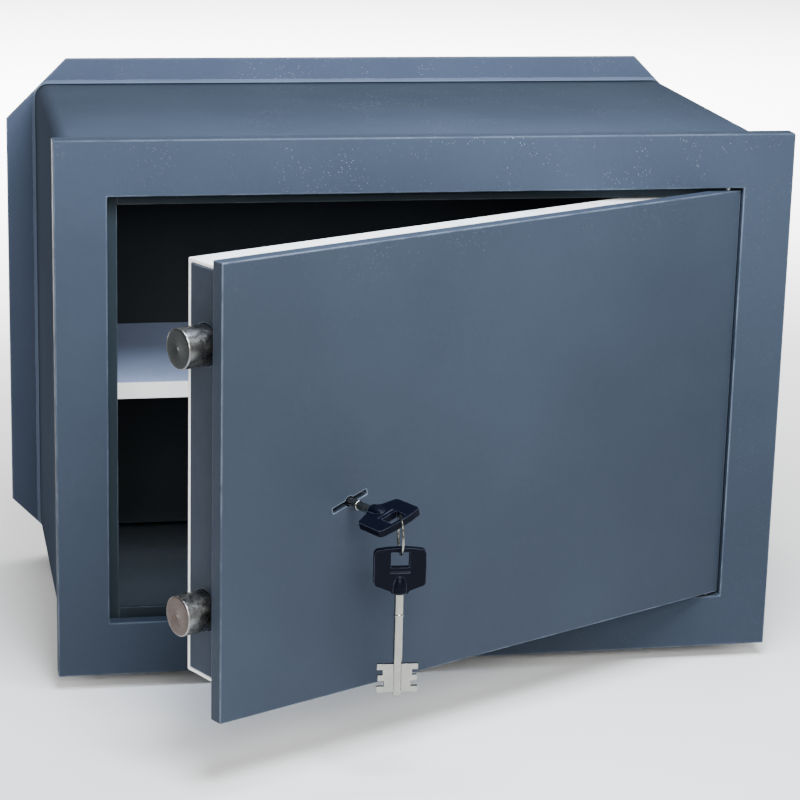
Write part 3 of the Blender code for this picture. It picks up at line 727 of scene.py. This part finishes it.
def block(half_u, low_w, high_w, low_v, high_v):
    """A block across the key's axis, in key coordinates, millimetres."""
    outline = [(-half_u, low_w), (half_u, low_w), (half_u, high_w), (-half_u, high_w)]
    return slab(outline, low_v, high_v, key_point)


def soften(obj, width):
    bevel_edges(obj, width, SMOOTH_ANGLE)
    smooth_by_angle(obj, SMOOTH_ANGLE)


def split_ring():
    """Two turns of flattened wire, side by side, as a key ring is coiled."""
    top, low = joint_point("ring_swing"), joint_point("spare_key_swing")
    centre, radius = (top + low) / 2, (top - low).length / 2
    along = joint_axis("ring_swing")
    normal = along.cross(Z).normalized()
    count, sides = RING_TURNS * RING_STEPS, RING_SIDES
    wide, thick = RING_ACROSS * RING_WIRE, RING_ALONG * RING_WIRE
    bm = bmesh.new()
    rings = []
    for k in range(count + 1):
        a = math.tau * k / RING_STEPS + RING_START
        slide = (k / count * 2 - 1) * RING_SPREAD * RING_WIRE
        out = along * math.cos(a) + Z * math.sin(a)
        middle = centre + out * radius + normal * slide
        ring = []
        for i in range(sides):
            b = math.tau * i / sides
            ring.append(bm.verts.new(middle + out * (wide * math.cos(b)) + normal * (thick * math.sin(b))))
        rings.append(ring)
    for low_ring, high_ring in zip(rings, rings[1:]):
        for i in range(sides):
            j = (i + 1) % sides
            bm.faces.new((low_ring[i], low_ring[j], high_ring[j], high_ring[i]))
    bm.faces.new(rings[0])
    bm.faces.new(list(reversed(rings[-1])))
    add_piece("split_ring", bm, "nickel", "ring", ("key_ring",), smooth=60)


# ---- studio -----------------------------------------------------------------------------------


def aim(obj, target):
    direction = Vector(target) - obj.location
    obj.rotation_euler = direction.to_track_quat("-Z", "Y").to_euler()


def softbox(name, place, target, size, power, color):
    data = bpy.data.lights.new(name, "AREA")
    data.shape = "RECTANGLE"
    data.size, data.size_y = size
    data.energy = power
    data.color = color
    obj = bpy.data.objects.new(name, data)
    obj.location = place
    bpy.context.scene.collection.objects.link(obj)
    aim(obj, target)


def studio():
    low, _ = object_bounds()
    bm = bmesh.new()
    bmesh.ops.create_grid(bm, x_segments=4, y_segments=4, size=FLOOR_HALF)
    mesh = bpy.data.meshes.new("studio_floor")
    bm.to_mesh(mesh)
    bm.free()
    floor = bpy.data.objects.new("studio_floor", mesh)
    floor.location.z = low.z - FLOOR_GAP
    g = Graph("floor_paper")
    g.finish(rgba(0.93, 0.93, 0.93), 0.9, g.bump(g.noise(300.0), 0.02, 0.1 * MM))
    mesh.materials.append(g.mat)
    bpy.context.scene.collection.objects.link(floor)
    floor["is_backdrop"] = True
    world = bpy.data.worlds.new("studio")
    world.use_nodes = True
    sky = world.node_tree.nodes["Background"].inputs
    sky["Color"].default_value = rgba(*WHITE)
    sky["Strength"].default_value = SKY_STRENGTH
    bpy.context.scene.world = world
    for name, settings in LIGHTS.items():
        softbox(name, *settings)


def camera():
    yaw, pitch, roll = (math.radians(a) for a in (CAMERA_YAW, CAMERA_PITCH, CAMERA_ROLL))
    ahead = Vector((math.sin(yaw) * math.cos(pitch), math.cos(yaw) * math.cos(pitch), -math.sin(pitch)))
    right = Vector((math.cos(yaw), -math.sin(yaw), 0.0))
    up = right.cross(ahead)
    side = right * math.cos(roll) + up * math.sin(roll)
    top = up * math.cos(roll) - right * math.sin(roll)
    data = bpy.data.cameras.new("camera")
    data.lens = CAMERA_LENS
    data.sensor_width = CAMERA_SENSOR
    data.clip_end = CAMERA_REACH
    obj = bpy.data.objects.new("camera", data)
    obj.matrix_world = frame_matrix(Vector(CAMERA_AT), side, top, -ahead)
    bpy.context.scene.collection.objects.link(obj)
    bpy.context.scene.camera = obj


camera()
dress_nodes()
HALF_W, HALF_H, BACK_Y = body_wrap()
weld_bead(HALF_W, HALF_H, BACK_Y + FILLET_SUNK)
turned_bolt("upper_round_bolt", "upper_bolt")
turned_bolt("lower_round_bolt", "lower_bolt")
for number in range(1, 5):
    slotted_screw(number)
key_piece("lock_key", "key", ("key_blade", "key_bow"), key_matrix())
key_piece("hanging_key", "spare_key", ("spare_key_blade", "spare_key_bow"), spare_matrix())
split_ring()
studio()
